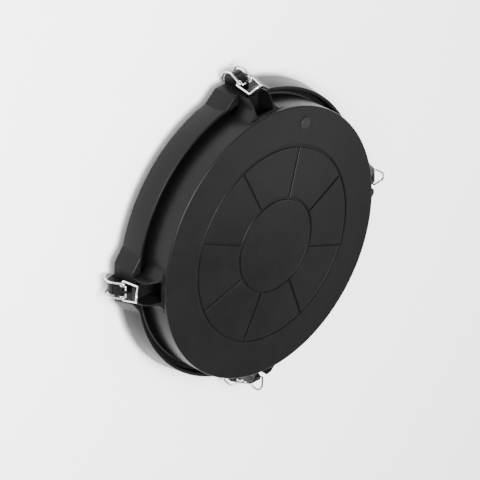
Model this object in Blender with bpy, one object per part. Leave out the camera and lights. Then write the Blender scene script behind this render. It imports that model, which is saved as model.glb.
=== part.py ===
"""Round inspection-hatch cover held on its neck ring by four wire over-centre latches.

The neck ring stands on its spigot with the cover on top, +Z up. The origin is the middle of the
spigot's lower edge. The four latches sit on +X, +Y, -X and -Y. Every latch is drawn in its own
latch space: t runs along the rim, r points away from the hatch's axis and z points up.
"""

import math

import bmesh
import bpy
from mathutils import Matrix, Vector

MM = 0.001
GAP = 0.3                      # left between pieces that touch, mm
SEGMENTS = 72                  # facets round the hatch
LATCH_ANGLES = (0.0, 90.0, 180.0, 270.0)

# Heights, mm above the spigot's lower edge
RING_UNDERSIDE = 20.0
CHANNEL_FLOOR = 42.0
RING_TOP = 61.0
LUG_UNDERSIDE = 62.5
RIM_HEIGHT = 113.3
CROWN = 17.5                   # the face's rise from rim to middle

# Radii, mm
BORE_RADIUS = 200.0
NECK_RADIUS = 209.0
SEAL_STOP_RADIUS = 236.0
UPSTAND_RADIUS = 260.0
RING_RADIUS_TOP = 266.0
RING_RADIUS_BASE = 269.5
RIM_RADIUS = 250.0
SKIRT_FOOT_RADIUS = 248.6
LARGE_CIRCLE_RADIUS = 178.6
SMALL_CIRCLE_RADIUS = 86.1

# Walls, ribs and grooves, mm
WALL = 5.0
SKIRT_FOOT = CHANNEL_FLOOR + 6.0
GROOVE_HALF_WIDTH = 2.0
GROOVE_DEPTH = 2.2
RIB_DEPTH = 10.0
RIB_HALF_WIDTH = 2.0
SPOKE_COUNT = 8

# Cover lugs, mm
LUG_HALF_WIDTH = 23.1
LUG_RADIUS = 280.5
LUG_RIB = 3.0
LUG_FILLET = 20.0
POCKET_RADIUS = 237.0
POCKET_TOP = 96.5
SHELF_TOP = 66.5
CATCH_HALF_WIDTH = 12.5
CATCH_ROOT = 266.0
CATCH_RADIUS = 289.6
CATCH_TOP = 80.2

# Ring lugs and the pivot blocks screwed to them, mm
RING_LUG_LOW = (283.4, 38.0, 66.0)     # reach, half width and root half width at the underside
RING_LUG_HIGH = (278.4, 30.0, 54.0)    # the same at the top
FOOT_THICKNESS = 4.0
BLOCK_HALF_WIDTH = 11.4
BLOCK_NECK_HALF_WIDTH = 8.6
WEB_HALF_WIDTH = 2.5
SCREW_OFFSET = 6.4
SCREW_REACH = 274.5

# Wire latches, mm
WIRE_RADIUS = 1.7
WIRE_SIDES = 8
PIVOT = (293.5, 59.5)          # lever pivot, (r, z)
KNUCKLE = (294.0, 52.3)        # bail pivot on the lever, (r, z)
LEVER_HALF_WIDTH = 14.4
BAIL_HALF_WIDTH = 18.9
COIL_RADIUS = 2 * WIRE_RADIUS + GAP
HOOK_HALF_WIDTH = 15.8
HOOK_CORNER = (286.1, 81.3)    # where the bail's sides turn into its pointed end, (r, z)
HOOK_POINT = (306.4, 95.3)     # the point before it is rounded, (r, z)
HOOK_BEND = 10.0                # bend radius at the point

# Vent plug, mm
PLUG_ANGLE = 67.3
PLUG_RADIUS_FROM_AXIS = 219.0
PLUG_HEAD_RADIUS = 11.8
PLUG_STEM_RADIUS = 7.0


# --------------------------------------------------------------------------- scene and materials

def clear_scene():
    for item in list(bpy.data.objects):
        bpy.data.objects.remove(item, do_unlink=True)


def material(name, colour, roughness, metallic=0.0):
    result = bpy.data.materials.new(name)
    result.use_nodes = True
    shader = result.node_tree.nodes["Principled BSDF"]
    shader.inputs["Base Color"].default_value = (*colour, 1.0)
    shader.inputs["Roughness"].default_value = roughness
    shader.inputs["Metallic"].default_value = metallic
    return result


# --------------------------------------------------------------------------- shape helpers

def new_object(name, mesh, finish=None):
    result = bpy.data.objects.new(name, mesh)
    bpy.context.scene.collection.objects.link(result)
    if finish:
        result.data.materials.append(finish)
    return result


def mesh_object(name, bm, finish=None):
    bmesh.ops.recalc_face_normals(bm, faces=bm.faces[:])
    mesh = bpy.data.meshes.new(name)
    bm.to_mesh(mesh)
    bm.free()
    return new_object(name, mesh, finish)


def turned(name, profile, finish=None, segments=SEGMENTS, centre=(0.0, 0.0)):
    """A closed (radius, height) profile in mm, spun round the vertical line through centre."""
    bm = bmesh.new()
    points = [bm.verts.new((r * MM, 0.0, z * MM)) for r, z in profile]
    edges = [bm.edges.new((points[i - 1], points[i])) for i in range(len(points))
             if not (profile[i][0] == 0.0 and profile[i - 1][0] == 0.0)]
    bmesh.ops.spin(bm, geom=points + edges, axis=(0, 0, 1), cent=(0, 0, 0),
                   steps=segments, angle=2 * math.pi, use_merge=True)
    bmesh.ops.remove_doubles(bm, verts=bm.verts[:], dist=1e-6)
    bmesh.ops.translate(bm, verts=bm.verts[:], vec=(centre[0] * MM, centre[1] * MM, 0.0))
    return mesh_object(name, bm, finish)


def tapered(name, low_points, high_points, finish=None):
    """A solid between two outlines of (x, y, z) points in mm with equal counts."""
    bm = bmesh.new()
    low = [bm.verts.new(Vector(point) * MM) for point in low_points]
    high = [bm.verts.new(Vector(point) * MM) for point in high_points]
    bm.faces.new(low)
    bm.faces.new(high[::-1])
    for i in range(len(low)):
        bm.faces.new((low[i - 1], high[i - 1], high[i], low[i]))
    return mesh_object(name, bm, finish)


def extruded(name, outline, low, high, place, finish=None):
    """A closed outline in mm, extruded from low to high; place turns (u, v, depth) into x, y, z."""
    bm = bmesh.new()
    face = bm.faces.new([bm.verts.new(Vector(place(u, v, low)) * MM) for u, v in outline])
    grown = bmesh.ops.extrude_face_region(bm, geom=[face])["geom"]
    step = Vector(place(0, 0, high)) - Vector(place(0, 0, low))
    moved = [item for item in grown if isinstance(item, bmesh.types.BMVert)]
    bmesh.ops.translate(bm, verts=moved, vec=step * MM)
    return mesh_object(name, bm, finish)


def plan(t, r, depth):
    """Outline seen from above: extrusion runs up."""
    return (r, t, depth)


def side(r, z, depth):
    """Outline seen along the rim: extrusion runs along t."""
    return (r, depth, z)


def rod(name, start, end, radius, sides, finish=None):
    """A round bar between two (x, y, z) points in mm."""
    first, last = Vector(start) * MM, Vector(end) * MM
    bm = bmesh.new()
    bmesh.ops.create_cone(bm, cap_ends=True, segments=sides, radius1=radius * MM,
                          radius2=radius * MM, depth=(last - first).length)
    turn = (last - first).to_track_quat("Z", "Y").to_matrix().to_4x4()
    bmesh.ops.transform(bm, matrix=Matrix.Translation((first + last) / 2) @ turn, verts=bm.verts[:])
    return mesh_object(name, bm, finish)


def combine(target, others, operation):
    """Boolean each of the others into the target, apply it, and remove them."""
    for other in others:
        modifier = target.modifiers.new("Boolean", "BOOLEAN")
        modifier.operation = operation
        modifier.solver = "EXACT"
        modifier.object = other
        graph = bpy.context.evaluated_depsgraph_get()
        mesh = bpy.data.meshes.new_from_object(target.evaluated_get(graph))
        target.modifiers.clear()
        target.data = mesh
        bpy.data.objects.remove(other, do_unlink=True)
    return target


def turned_copy(source, name, angle):
    """A copy of a piece drawn on +X, carried round the hatch's axis with its mesh."""
    result = source.copy()
    result.data = source.data.copy()
    result.name = name
    result.data.transform(Matrix.Rotation(math.radians(angle), 4, "Z"))
    bpy.context.scene.collection.objects.link(result)
    return result


def smooth(item, angle=35.0):
    item.data.shade_smooth()
    item.data.set_sharp_from_angle(angle=math.radians(angle))


def arc(centre, radius, start, end, steps):
    """Points on an arc in the plane, angles in degrees."""
    angles = [math.radians(start + (end - start) * i / steps) for i in range(steps + 1)]
    return [(centre[0] + radius * math.cos(a), centre[1] + radius * math.sin(a)) for a in angles]


def rounded_route(corners, steps=4):
    """A route through corners, each given as (point, bend radius), with an arc at every bend."""
    points = [Vector(corners[0][0])]
    for (before, _), (corner, bend), (after, _) in zip(corners, corners[1:], corners[2:]):
        corner = Vector(corner)
        back = (Vector(before) - corner).normalized()
        ahead = (Vector(after) - corner).normalized()
        half = back.angle(ahead) / 2
        reach = bend / math.tan(half)
        centre = corner + (back + ahead).normalized() * (bend / math.sin(half))
        first = corner + back * reach - centre
        last = corner + ahead * reach - centre
        sweep = first.angle(last)
        for i in range(steps + 1):
            share = i / steps
            spoke = (first * math.sin((1 - share) * sweep) + last * math.sin(share * sweep))
            points.append(centre + spoke / math.sin(sweep))
    points.append(Vector(corners[-1][0]))
    return points


def wire(name, route, finish):
    """A round wire along a route of (r, t, z) points in mm."""
    bm = bmesh.new()
    rings = []
    frame = None
    for i, point in enumerate(route):
        ahead = (route[min(i + 1, len(route) - 1)] - point)
        behind = (point - route[max(i - 1, 0)])
        tangent = (ahead.normalized() + behind.normalized()).normalized()
        seed = frame if frame else tangent.orthogonal()
        across = (seed - tangent * seed.dot(tangent)).normalized()
        frame = across
        up = tangent.cross(across)
        ring = []
        for k in range(WIRE_SIDES):
            angle = 2 * math.pi * k / WIRE_SIDES
            offset = (across * math.cos(angle) + up * math.sin(angle)) * WIRE_RADIUS
            ring.append(bm.verts.new((point + offset) * MM))
        rings.append(ring)
    for low, high in zip(rings, rings[1:]):
        for k in range(WIRE_SIDES):
            after = (k + 1) % WIRE_SIDES
            bm.faces.new((low[k], low[after], high[after], high[k]))
    bm.faces.new(rings[0][::-1])
    bm.faces.new(rings[-1])
    return mesh_object(name, bm, finish)


# --------------------------------------------------------------------------- cover

def crown_height(radius):
    share = (radius / RIM_RADIUS) ** 2
    return RIM_HEIGHT + CROWN * (1 - share) * (1 - 0.6 * share)


def groove(radius):
    """Face points across a round groove, from the inside out."""
    half, depth = GROOVE_HALF_WIDTH, GROOVE_DEPTH
    return [(radius - half, crown_height(radius - half)),
            (radius - half * 0.5, crown_height(radius) - depth),
            (radius + half * 0.5, crown_height(radius) - depth),
            (radius + half, crown_height(radius + half))]


def ring_rib(radius):
    """Underside points round a circular rib, from the outside in."""
    half = RIB_HALF_WIDTH
    under = crown_height(radius) - WALL
    return [(radius + half, under), (radius + half, under - RIB_DEPTH),
            (radius - half, under - RIB_DEPTH), (radius - half, under)]


def cover_profile():
    edge = 3.0
    face = [(0.0, crown_height(0.0)), (45.0, crown_height(45.0))]
    face += groove(SMALL_CIRCLE_RADIUS)
    face += [(132.0, crown_height(132.0))]
    face += groove(LARGE_CIRCLE_RADIUS)
    face += [(215.0, crown_height(215.0))]
    rounding = arc((RIM_RADIUS - edge, crown_height(RIM_RADIUS - edge) - edge), edge, 90, 0, 3)
    skirt = [(SKIRT_FOOT_RADIUS, SKIRT_FOOT), (SKIRT_FOOT_RADIUS - WALL, SKIRT_FOOT)]
    inside = [(RIM_RADIUS - WALL, RIM_HEIGHT - 12.0), (RIM_RADIUS - WALL - 6.0, RIM_HEIGHT - WALL)]
    under = [(215.0, crown_height(215.0) - WALL)]
    under += ring_rib(LARGE_CIRCLE_RADIUS)
    under += [(132.0, crown_height(132.0) - WALL)]
    under += ring_rib(SMALL_CIRCLE_RADIUS)
    under += [(45.0, crown_height(45.0) - WALL), (0.0, crown_height(0.0) - WALL)]
    return face + rounding + skirt + inside + under


def lug_body():
    """One cover lug on +X: its plan with hollow side fillets, cut to its side outline."""
    root = RIM_RADIUS - 6.0
    flank = LUG_HALF_WIDTH + LUG_FILLET
    hollow = arc((flank, root + 3.0 + LUG_FILLET), LUG_FILLET, 270, 183, 5)
    right = hollow + [(LUG_HALF_WIDTH, LUG_RADIUS + 4.0)]
    left = [(-t, r) for t, r in reversed(right)]
    outline = [(-flank, root), (flank, root)] + right + left
    body = extruded("lug", outline, LUG_UNDERSIDE, RIM_HEIGHT, plan)
    profile = [(root - 2.0, LUG_UNDERSIDE - 2.0), (LUG_RADIUS - 1.0, LUG_UNDERSIDE - 2.0),
               (LUG_RADIUS, 82.5), (LUG_RADIUS - 1.0, 86.0), (LUG_RADIUS - 3.4, 89.2),
               (271.0, 95.0), (262.0, 100.0), (RIM_RADIUS, 105.4), (root - 2.0, 107.0)]
    trim = extruded("trim", profile, -flank - 5.0, flank + 5.0, side)
    return combine(body, [trim], "INTERSECT")


def catch():
    profile = [(CATCH_ROOT, SHELF_TOP - 2.0), (281.0, SHELF_TOP - 2.0),
               (CATCH_RADIUS, 71.0), (CATCH_RADIUS, CATCH_TOP), (CATCH_RADIUS - 7.0, CATCH_TOP),
               (CATCH_RADIUS - 11.0, CATCH_TOP - 4.0), (CATCH_ROOT, SHELF_TOP)]
    return extruded("catch", profile, -CATCH_HALF_WIDTH, CATCH_HALF_WIDTH, side)


def build_cover(finish):
    cover = turned("cover", cover_profile(), finish)
    lug = lug_body()
    housing = extruded("housing", [(POCKET_RADIUS - WALL, LUG_UNDERSIDE),
                                   (RIM_RADIUS - 2.0, LUG_UNDERSIDE),
                                   (RIM_RADIUS - 2.0, POCKET_TOP + WALL),
                                   (POCKET_RADIUS - WALL, POCKET_TOP + WALL)],
                       -LUG_HALF_WIDTH, LUG_HALF_WIDTH, side)
    inner = LUG_HALF_WIDTH - LUG_RIB
    pocket = extruded("pocket", [(POCKET_RADIUS, SHELF_TOP), (LUG_RADIUS + 12.0, SHELF_TOP),
                                 (LUG_RADIUS + 12.0, RIM_HEIGHT + 8.0), (257.0, RIM_HEIGHT + 8.0),
                                 (RIM_RADIUS - 1.0, POCKET_TOP), (POCKET_RADIUS, POCKET_TOP)],
                      -inner, inner, side)
    combine(lug, [housing], "UNION")
    parts = [(lug, "UNION"), (pocket, "DIFFERENCE"), (catch(), "UNION")]
    for angle in LATCH_ANGLES:
        for source, operation in parts:
            combine(cover, [turned_copy(source, "piece", angle)], operation)
    for source, _ in parts:
        bpy.data.objects.remove(source, do_unlink=True)

    for k in range(SPOKE_COUNT):
        angle = (k + 0.5) * 360.0 / SPOKE_COUNT
        inner_r = SMALL_CIRCLE_RADIUS + GROOVE_HALF_WIDTH
        outer_r = LARGE_CIRCLE_RADIUS - GROOVE_HALF_WIDTH
        bottom = [(inner_r, crown_height(inner_r) - GROOVE_DEPTH),
                  (132.0, crown_height(132.0) - GROOVE_DEPTH),
                  (outer_r, crown_height(outer_r) - GROOVE_DEPTH)]
        cutter = extruded("spoke", bottom + [(outer_r, RIM_HEIGHT + CROWN + 4.0),
                                             (inner_r, RIM_HEIGHT + CROWN + 4.0)],
                          -GROOVE_HALF_WIDTH, GROOVE_HALF_WIDTH, side)
        cutter.data.transform(Matrix.Rotation(math.radians(angle), 4, "Z"))
        combine(cover, [cutter], "DIFFERENCE")
        start = SMALL_CIRCLE_RADIUS + 0.5
        end = LARGE_CIRCLE_RADIUS - 0.5
        rib_low = [(start, crown_height(start) - WALL - RIB_DEPTH + 1.0),
                   (end, crown_height(end) - WALL - RIB_DEPTH + 1.0)]
        rib_high = [(end, crown_height(end) - 3.0), (132.0, crown_height(132.0) - 3.0),
                    (start, crown_height(start) - 3.0)]
        rib = extruded("rib", rib_low + rib_high, -RIB_HALF_WIDTH, RIB_HALF_WIDTH, side)
        rib.data.transform(Matrix.Rotation(math.radians(angle), 4, "Z"))
        combine(cover, [rib], "UNION")

    x, y = plug_place()
    hole = turned("hole", [(0.0, RIM_HEIGHT - 20.0), (PLUG_STEM_RADIUS + GAP, RIM_HEIGHT - 20.0),
                           (PLUG_STEM_RADIUS + GAP, plug_seat()),
                           (PLUG_HEAD_RADIUS + GAP, plug_seat()),
                           (PLUG_HEAD_RADIUS + GAP, RIM_HEIGHT + 20.0), (0.0, RIM_HEIGHT + 20.0)],
                  segments=24, centre=(x, y))
    combine(cover, [hole], "DIFFERENCE")
    smooth(cover)
    return cover


# --------------------------------------------------------------------------- neck ring and seal

def ring_profile():
    edge = 3.0
    top_edge = arc((RING_RADIUS_TOP - edge, RING_TOP - edge), edge, 0, 90, 3)
    return ([(BORE_RADIUS, 0.0), (NECK_RADIUS, 0.0), (NECK_RADIUS, CHANNEL_FLOOR - 8.0),
             (UPSTAND_RADIUS, CHANNEL_FLOOR - 8.0), (UPSTAND_RADIUS + 1.0, RING_UNDERSIDE),
             (RING_RADIUS_BASE - 1.5, RING_UNDERSIDE), (RING_RADIUS_BASE, RING_UNDERSIDE + 1.5)]
            + top_edge
            + [(UPSTAND_RADIUS, RING_TOP), (UPSTAND_RADIUS, CHANNEL_FLOOR),
               (SEAL_STOP_RADIUS, CHANNEL_FLOOR), (SEAL_STOP_RADIUS, CHANNEL_FLOOR + 12.0),
               (SEAL_STOP_RADIUS - 6.0, CHANNEL_FLOOR + 12.0),
               (SEAL_STOP_RADIUS - 6.0, CHANNEL_FLOOR), (BORE_RADIUS, CHANNEL_FLOOR)])


def ring_lug_outline(reach, half, root, ring_radius, height):
    """Plan of a ring lug: it leaves the ring's side, slopes out and turns into a flat front."""
    far = root + 30.0
    right = [((far, math.sqrt((ring_radius - 1.5) ** 2 - far ** 2), 0.0), 0.0),
             ((root, math.sqrt((ring_radius - 0.8) ** 2 - root ** 2), 0.0), 24.0),
             ((half, reach, 0.0), 9.0), ((0.0, reach, 0.0), 0.0)]
    curve = rounded_route(right, 4)
    points = [(t, r) for t, r, _ in curve] + [(-t, r) for t, r, _ in curve[-2::-1]]
    points += [(-half, UPSTAND_RADIUS - 22.0), (half, UPSTAND_RADIUS - 22.0)]
    return [(r, t, height) for t, r in points]


def ring_lug():
    """One lug of the ring on +X, with the two blind holes for its pivot block's screws."""
    lug = tapered("ring_lug", ring_lug_outline(*RING_LUG_LOW, RING_RADIUS_BASE, RING_UNDERSIDE),
                  ring_lug_outline(*RING_LUG_HIGH, RING_RADIUS_TOP, RING_TOP))
    hollow = turned("hollow", [(150.0, 0.0), (UPSTAND_RADIUS + 3.0, 0.0),
                               (UPSTAND_RADIUS + 3.0, RING_TOP + 10.0),
                               (150.0, RING_TOP + 10.0)])
    holes = [rod("bolt_hole", (SCREW_REACH, sign * SCREW_OFFSET, RING_UNDERSIDE - 5.0),
                 (SCREW_REACH, sign * SCREW_OFFSET, RING_UNDERSIDE + 14.0), 2.2 + GAP, 12)
             for sign in (-1, 1)]
    return combine(lug, [hollow, *holes], "DIFFERENCE")


def build_ring(finish):
    ring = turned("neck_ring", ring_profile(), finish)
    lug = ring_lug()
    for angle in LATCH_ANGLES:
        combine(ring, [turned_copy(lug, "piece", angle)], "UNION")
    bpy.data.objects.remove(lug, do_unlink=True)
    stiffener = extruded("stiffener", [(NECK_RADIUS - 1.0, 6.0), (NECK_RADIUS + 4.0, 6.0),
                                       (UPSTAND_RADIUS + 2.0, RING_UNDERSIDE + 2.0),
                                       (UPSTAND_RADIUS + 2.0, CHANNEL_FLOOR - 6.0),
                                       (NECK_RADIUS - 1.0, CHANNEL_FLOOR - 6.0)], -2.5, 2.5, side)
    for k in range(12):
        combine(ring, [turned_copy(stiffener, "piece", 15.0 + 30.0 * k)], "UNION")
    bpy.data.objects.remove(stiffener, do_unlink=True)
    smooth(ring)
    return ring


def build_seal(finish):
    low, high = CHANNEL_FLOOR + GAP, SKIRT_FOOT - GAP
    inner, outer = SEAL_STOP_RADIUS + 1.0, SKIRT_FOOT_RADIUS + 3.0
    seal = turned("seal_ring", [(inner, low), (outer, low), (outer, high - 1.5),
                                (outer - 1.5, high), (inner + 1.5, high), (inner, high - 1.5)],
                  finish)
    smooth(seal)
    return seal


# --------------------------------------------------------------------------- vent plug

def plug_place():
    angle = math.radians(PLUG_ANGLE)
    return (PLUG_RADIUS_FROM_AXIS * math.cos(angle), PLUG_RADIUS_FROM_AXIS * math.sin(angle))


def plug_seat():
    return crown_height(PLUG_RADIUS_FROM_AXIS) - 2.0


def build_plug(plug_finish, seal_finish):
    centre = plug_place()
    seat = plug_seat()
    under = crown_height(PLUG_RADIUS_FROM_AXIS) - WALL
    collar = PLUG_STEM_RADIUS + 2.4
    plug = turned("vent_plug", [(0.0, under - 8.0), (PLUG_STEM_RADIUS - 1.0, under - 8.0),
                                (PLUG_STEM_RADIUS, under - 6.0), (PLUG_STEM_RADIUS, seat + 0.2),
                                (collar, seat + 0.2), (collar, seat + 1.6),
                                (PLUG_HEAD_RADIUS, seat + 1.6), (PLUG_HEAD_RADIUS, seat + 2.8),
                                (PLUG_HEAD_RADIUS - 0.8, seat + 3.4), (0.0, seat + 3.7)],
                  plug_finish, 24, centre)
    ring = turned("vent_plug_seal", [(collar + GAP, seat + GAP),
                                     (PLUG_HEAD_RADIUS - 0.3, seat + GAP),
                                     (PLUG_HEAD_RADIUS - 0.3, seat + 1.6 - GAP),
                                     (collar + GAP, seat + 1.6 - GAP)], seal_finish, 24, centre)
    smooth(plug)
    smooth(ring)


# --------------------------------------------------------------------------- latches

def lug_front(z):
    """Reach of the ring lug's front, which leans back as it rises, with the gap before it."""
    low, high = RING_LUG_LOW[0], RING_LUG_HIGH[0]
    return low + (high - low) * (z - RING_UNDERSIDE) / (RING_TOP - RING_UNDERSIDE) + GAP + 0.05


def pivot_block():
    """The block that carries one lever, with a foot under the ring lug, drawn on +X."""
    foot_top = RING_UNDERSIDE - GAP
    foot_low = foot_top - FOOT_THICKNESS
    body = extruded("body", [(lug_front(foot_low), foot_low + 1.0), (293.0, foot_low + 1.0),
                             (299.5, 20.5), (302.6, 26.0), (303.6, 31.5), (302.8, 38.0),
                             (300.6, 43.0), (lug_front(43.0), 43.0)],
                    -BLOCK_HALF_WIDTH, BLOCK_HALF_WIDTH, side)
    foot = extruded("foot", [(267.0, foot_low), (290.0, foot_low), (291.5, foot_low + 2.0),
                             (288.0, foot_top), (267.0, foot_top)],
                    -BLOCK_HALF_WIDTH, BLOCK_HALF_WIDTH, side)
    neck = extruded("neck", [(lug_front(40.0), 40.0), (301.4, 40.0), (299.5, 45.2),
                             (296.0, 50.0), (290.5, 55.6), (lug_front(55.6), 55.6)],
                    -BLOCK_NECK_HALF_WIDTH, BLOCK_NECK_HALF_WIDTH, side)
    r, z = PIVOT
    nose = arc((r, z), 3.4, 100, -40, 6)
    web = extruded("web", [(284.0, 53.0), (283.0, 60.0)] + nose + [(295.0, 51.0)],
                   -WEB_HALF_WIDTH, WEB_HALF_WIDTH, side)
    combine(body, [foot, neck, web], "UNION")
    cuts = [rod("bore", (r, -6.0, z), (r, 6.0, z), WIRE_RADIUS + GAP, 12)]
    for sign in (-1, 1):
        cuts.append(rod("hole", (SCREW_REACH, sign * SCREW_OFFSET, foot_low - 5.0),
                        (SCREW_REACH, sign * SCREW_OFFSET, foot_top + 5.0), 2.2 + GAP, 12))
    return combine(body, cuts, "DIFFERENCE")


def block_screw(sign):
    """One screw that holds a pivot block's foot up to the ring lug, with a hexagon socket."""
    t = sign * SCREW_OFFSET
    head_top = RING_UNDERSIDE - 2 * GAP - FOOT_THICKNESS
    screw = rod("screw", (SCREW_REACH, t, head_top - 1.0),
                (SCREW_REACH, t, RING_UNDERSIDE + 12.0), 2.2, 12)
    head = rod("head", (SCREW_REACH, t, head_top - 3.0), (SCREW_REACH, t, head_top), 4.2, 16)
    socket = rod("socket", (SCREW_REACH, t, head_top - 6.0), (SCREW_REACH, t, head_top - 1.4),
                 2.0, 6)
    combine(screw, [head], "UNION")
    return combine(screw, [socket], "DIFFERENCE")


def lever_half(sign):
    """Half of a lever's route, from the middle of its pull loop to its pivot, as (r, t, z)."""
    t = sign * LEVER_HALF_WIDTH
    slope = math.radians(27.0)
    coil_start = (KNUCKLE[0] + COIL_RADIUS * math.cos(slope),
                  KNUCKLE[1] + COIL_RADIUS * math.sin(slope))
    corners = [((281.0, 0.0, 9.2), 0.0), ((281.5, sign * 9.0, 9.3), 4.5),
               ((292.0, t, 12.0), 4.0), ((304.6, t, 18.8), 8.0), ((310.0, t, 34.0), 9.0),
               ((coil_start[0] + 3.6, t, coil_start[1] - 7.0), 4.0),
               ((coil_start[0], t, coil_start[1]), 0.0)]
    route = rounded_route(corners, 2)
    turns = 10
    for k in range(1, turns + 1):
        angle = slope + 2 * math.pi * k / turns
        shift = t - sign * COIL_RADIUS * k / turns
        route.append(Vector((KNUCKLE[0] + COIL_RADIUS * math.cos(angle), shift,
                             KNUCKLE[1] + COIL_RADIUS * math.sin(angle))))
    inner = t - sign * COIL_RADIUS
    tail = [((route[-1].x, inner, route[-1].z), 0.0), ((PIVOT[0], inner, PIVOT[1]), 1.7),
            ((PIVOT[0], sign * 0.4, PIVOT[1]), 0.0)]
    return route + rounded_route(tail, 2)[1:]


def lever(finish):
    left, right = lever_half(-1), lever_half(1)
    return wire("lever", list(reversed(left)) + right[1:], finish)


def bail(finish):
    halves = []
    for sign in (-1, 1):
        halves.append([((KNUCKLE[0], sign * 10.9, KNUCKLE[1]), 0.0),
                       ((KNUCKLE[0], sign * BAIL_HALF_WIDTH, KNUCKLE[1]), 2.4),
                       ((HOOK_CORNER[0], sign * HOOK_HALF_WIDTH, HOOK_CORNER[1]), 2.6)])
    point = [((HOOK_POINT[0], 0.0, HOOK_POINT[1]), HOOK_BEND)]
    return wire("bail", rounded_route(halves[0] + point + halves[1][::-1], 4), finish)


def build_latches(block_finish, steel):
    block = pivot_block()
    screws = {"a": block_screw(-1), "b": block_screw(1)}
    lever_source = lever(steel)
    bail_source = bail(steel)
    block.data.materials.append(block_finish)
    for screw in screws.values():
        screw.data.materials.append(steel)
    for number, angle in enumerate(LATCH_ANGLES, start=1):
        smooth(turned_copy(block, f"pivot_block_{number}", angle))
        for letter, screw in screws.items():
            smooth(turned_copy(screw, f"block_screw_{number}{letter}", angle))
        for source, word, axis in ((lever_source, "latch_lever", PIVOT),
                                   (bail_source, "latch_bail", KNUCKLE)):
            piece = turned_copy(source, f"{word}_{number}", angle)
            turn = Matrix.Rotation(math.radians(angle), 4, "Z")
            origin = turn @ Vector((axis[0] * MM, 0.0, axis[1] * MM))
            piece.data.transform(Matrix.Translation(-origin))
            piece.location = origin
            smooth(piece, 60.0)
    for source in (block, lever_source, bail_source, *screws.values()):
        bpy.data.objects.remove(source, do_unlink=True)


def main():
    clear_scene()
    moulded = material("black_moulding", (0.035, 0.036, 0.036), 0.42)
    block_finish = material("pivot_block_moulding", (0.03, 0.03, 0.032), 0.5)
    rubber = material("seal_rubber", (0.015, 0.015, 0.016), 0.75)
    plug_finish = material("grey_plug", (0.075, 0.08, 0.085), 0.4)
    steel = material("stainless_wire", (0.72, 0.72, 0.73), 0.22, 1.0)
    build_cover(moulded)
    build_ring(moulded)
    build_seal(rubber)
    build_plug(plug_finish, rubber)
    build_latches(block_finish, steel)


main()
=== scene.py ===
"""Round inspection-hatch cover on its neck ring, held shut by four wire draw latches.

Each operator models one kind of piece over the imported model's frame and gives it its finish.
The hatch lies flat with its axis on Z. Latch pieces are drawn for the latch on +X, where r points
away from the axis, t runs along the rim and z points up, and are then carried round to the others.
"""

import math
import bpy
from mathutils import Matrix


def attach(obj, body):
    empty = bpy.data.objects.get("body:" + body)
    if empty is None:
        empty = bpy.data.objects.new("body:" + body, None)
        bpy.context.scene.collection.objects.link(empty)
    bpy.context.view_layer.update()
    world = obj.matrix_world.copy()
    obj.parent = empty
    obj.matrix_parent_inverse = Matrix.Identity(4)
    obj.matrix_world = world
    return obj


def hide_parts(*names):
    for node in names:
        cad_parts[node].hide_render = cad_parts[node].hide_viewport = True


bl_info = {
    "name": "Hatch cover with wire latches",
    "version": (1, 0, 0),
    "blender": (4, 5, 0),
    "location": "3D View > Sidebar > Hatch",
    "description": "Models a round hatch cover, its neck ring and its four wire latches",
    "category": "Add Mesh",
}

import bpy
from mathutils import Matrix, Vector

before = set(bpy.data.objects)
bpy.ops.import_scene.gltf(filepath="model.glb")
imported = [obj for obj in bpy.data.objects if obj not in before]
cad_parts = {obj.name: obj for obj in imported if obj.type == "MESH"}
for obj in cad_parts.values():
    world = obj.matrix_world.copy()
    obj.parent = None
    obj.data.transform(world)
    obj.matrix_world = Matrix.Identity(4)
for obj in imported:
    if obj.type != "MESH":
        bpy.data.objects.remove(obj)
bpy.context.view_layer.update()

MM = 0.001
LATCHES = (1, 2, 3, 4)

# Heights over the neck's lower edge, mm
RING_UNDERSIDE = 20.0
CHANNEL_FLOOR = 42.0
RING_TOP = 61.0
LUG_UNDERSIDE = 62.5
SHELF_TOP = 66.5
POCKET_TOP = 96.5

# The cover's lugs and walls, mm
WALL = 5.0
LUG_HALF_WIDTH = 23.1
LUG_RADIUS = 280.5
LUG_ROOT = 244.0
LUG_FILLET = 20.0
POCKET_HALF_WIDTH = 20.1
POCKET_RADIUS = 237.0

# The vent plug, its radius mm and angle degrees round the hatch
PLUG_RADIUS = 219.0
PLUG_ANGLE = 67.3

# The latches, mm: (r, z) places, and half widths along t
PIVOT = (293.5, 59.5)
KNUCKLE = (294.0, 52.3)
LEVER_HALF_WIDTH = 14.4
BAIL_HALF_WIDTH = 18.9
HOOK_HALF_WIDTH = 15.8
HOOK_CORNER = (286.1, 81.3)
HOOK_POINT = (306.4, 95.3)
HOOK_BEND = 10.0
BLOCK_HALF_WIDTH = 11.4
FOOT_LOW = 15.7
FOOT_TOP = 19.7
SCREW_PLACE = (274.5, 6.4)
SCREW_HOLE_RADIUS = 2.5


# ------------------------------------------------------------------------------- settings

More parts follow.
